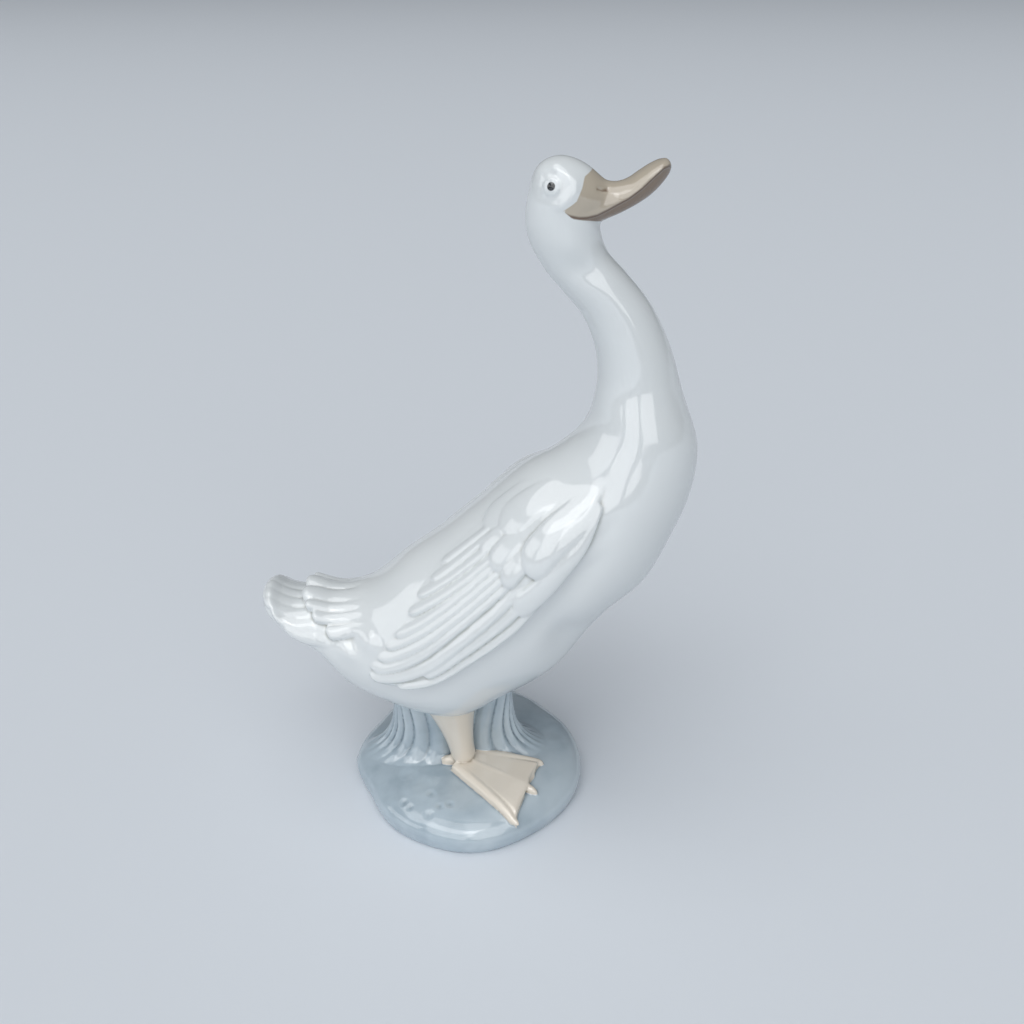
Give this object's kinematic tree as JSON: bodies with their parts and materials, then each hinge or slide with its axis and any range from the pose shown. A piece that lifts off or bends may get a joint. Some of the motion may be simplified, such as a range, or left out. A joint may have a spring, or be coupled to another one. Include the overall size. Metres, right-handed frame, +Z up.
{
  "type": "goose figurine",
  "caption": "Standing goose ornament in glazed porcelain, neck stretched up and bill raised, on a round grass-covered base that rests flat on a shelf or table.",
  "frame": {"origin": "under the middle of the goose's length from tail tip to breast, in its plane of symmetry, on the surface that it stands on", "axes": "+Z up, +X the way the bill points, -Y the side of the near foot in the picture"},
  "size_m": [0.1296, 0.0774, 0.2002],
  "materials": {
    "glazed_porcelain": "white gloss glaze, with beige bill and feet and a blue-grey base under the same glaze"
  },
  "bodies": {
    "root": {"goose_figurine": "glazed_porcelain"}
  },
  "joints": []
}
